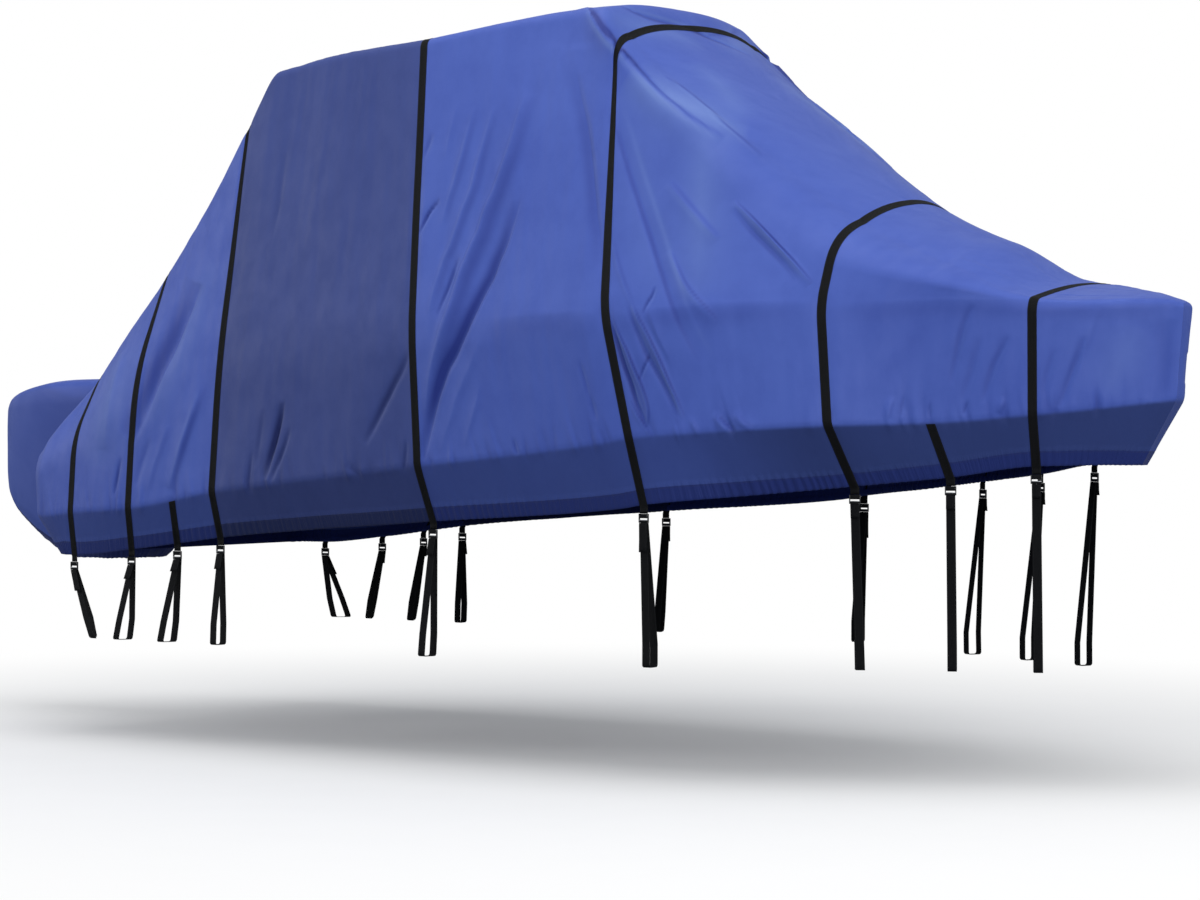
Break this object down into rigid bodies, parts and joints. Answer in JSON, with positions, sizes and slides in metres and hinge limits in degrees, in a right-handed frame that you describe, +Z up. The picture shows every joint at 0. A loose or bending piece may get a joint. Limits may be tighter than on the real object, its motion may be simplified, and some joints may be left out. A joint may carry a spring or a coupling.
{
  "type": "fitted boat cover",
  "caption": "Fitted cloth cover for a boat with a raised top, with hold-down straps, buckles, hanging tie loops and a stern hood.",
  "frame": {"origin": "under the middle of the roof, on the underside of the cloth, on the centreline", "axes": "+X towards the bow, -Y towards the starboard side, +Z up"},
  "size_m": [6.9092, 2.2761, 3.0654],
  "materials": {
    "royal_polyester": "plain woven, royal blue, satin matte",
    "navy_polyester": "plain woven, greyish navy, matte",
    "black_webbing": "flat woven webbing, matte",
    "black_acetal": "moulded, fine matte"
  },
  "bodies": {
    "root": {"buckle_a_port": "black_acetal", "buckle_a_starboard": "black_acetal", "buckle_b_port": "black_acetal", "buckle_b_starboard": "black_acetal", "buckle_c_port": "black_acetal", "buckle_c_starboard": "black_acetal", "buckle_d_port": "black_acetal", "buckle_d_starboard": "black_acetal", "buckle_e_port": "black_acetal", "buckle_e_starboard": "black_acetal", "buckle_f_port": "black_acetal", "buckle_f_starboard": "black_acetal", "buckle_g_port": "black_acetal", "buckle_g_starboard": "black_acetal", "buckle_h_port": "black_acetal", "buckle_h_starboard": "black_acetal", "buckle_i_port": "black_acetal", "buckle_i_starboard": "black_acetal", "panel_bow": "royal_polyester", "panel_center": "navy_polyester", "panel_foredeck": "royal_polyester", "panel_forward": "royal_polyester", "panel_stern": "royal_polyester", "stern_hood": "royal_polyester", "strap_a": "black_webbing", "strap_b": "black_webbing", "strap_c_port": "black_webbing", "strap_c_starboard": "black_webbing", "strap_d": "black_webbing", "strap_e": "black_webbing", "strap_f": "black_webbing", "strap_g": "black_webbing", "strap_h_port": "black_webbing", "strap_h_starboard": "black_webbing", "strap_i": "black_webbing", "tie_loop_a_port": "black_webbing", "tie_loop_a_starboard": "black_webbing", "tie_loop_b_port": "black_webbing", "tie_loop_b_starboard": "black_webbing", "tie_loop_c_port": "black_webbing", "tie_loop_c_starboard": "black_webbing", "tie_loop_d_port": "black_webbing", "tie_loop_d_starboard": "black_webbing", "tie_loop_e_port": "black_webbing", "tie_loop_e_starboard": "black_webbing", "tie_loop_f_port": "black_webbing", "tie_loop_f_starboard": "black_webbing", "tie_loop_g_port": "black_webbing", "tie_loop_g_starboard": "black_webbing", "tie_loop_h_port": "black_webbing", "tie_loop_h_starboard": "black_webbing", "tie_loop_i_port": "black_webbing", "tie_loop_i_starboard": "black_webbing"}
  },
  "joints": []
}
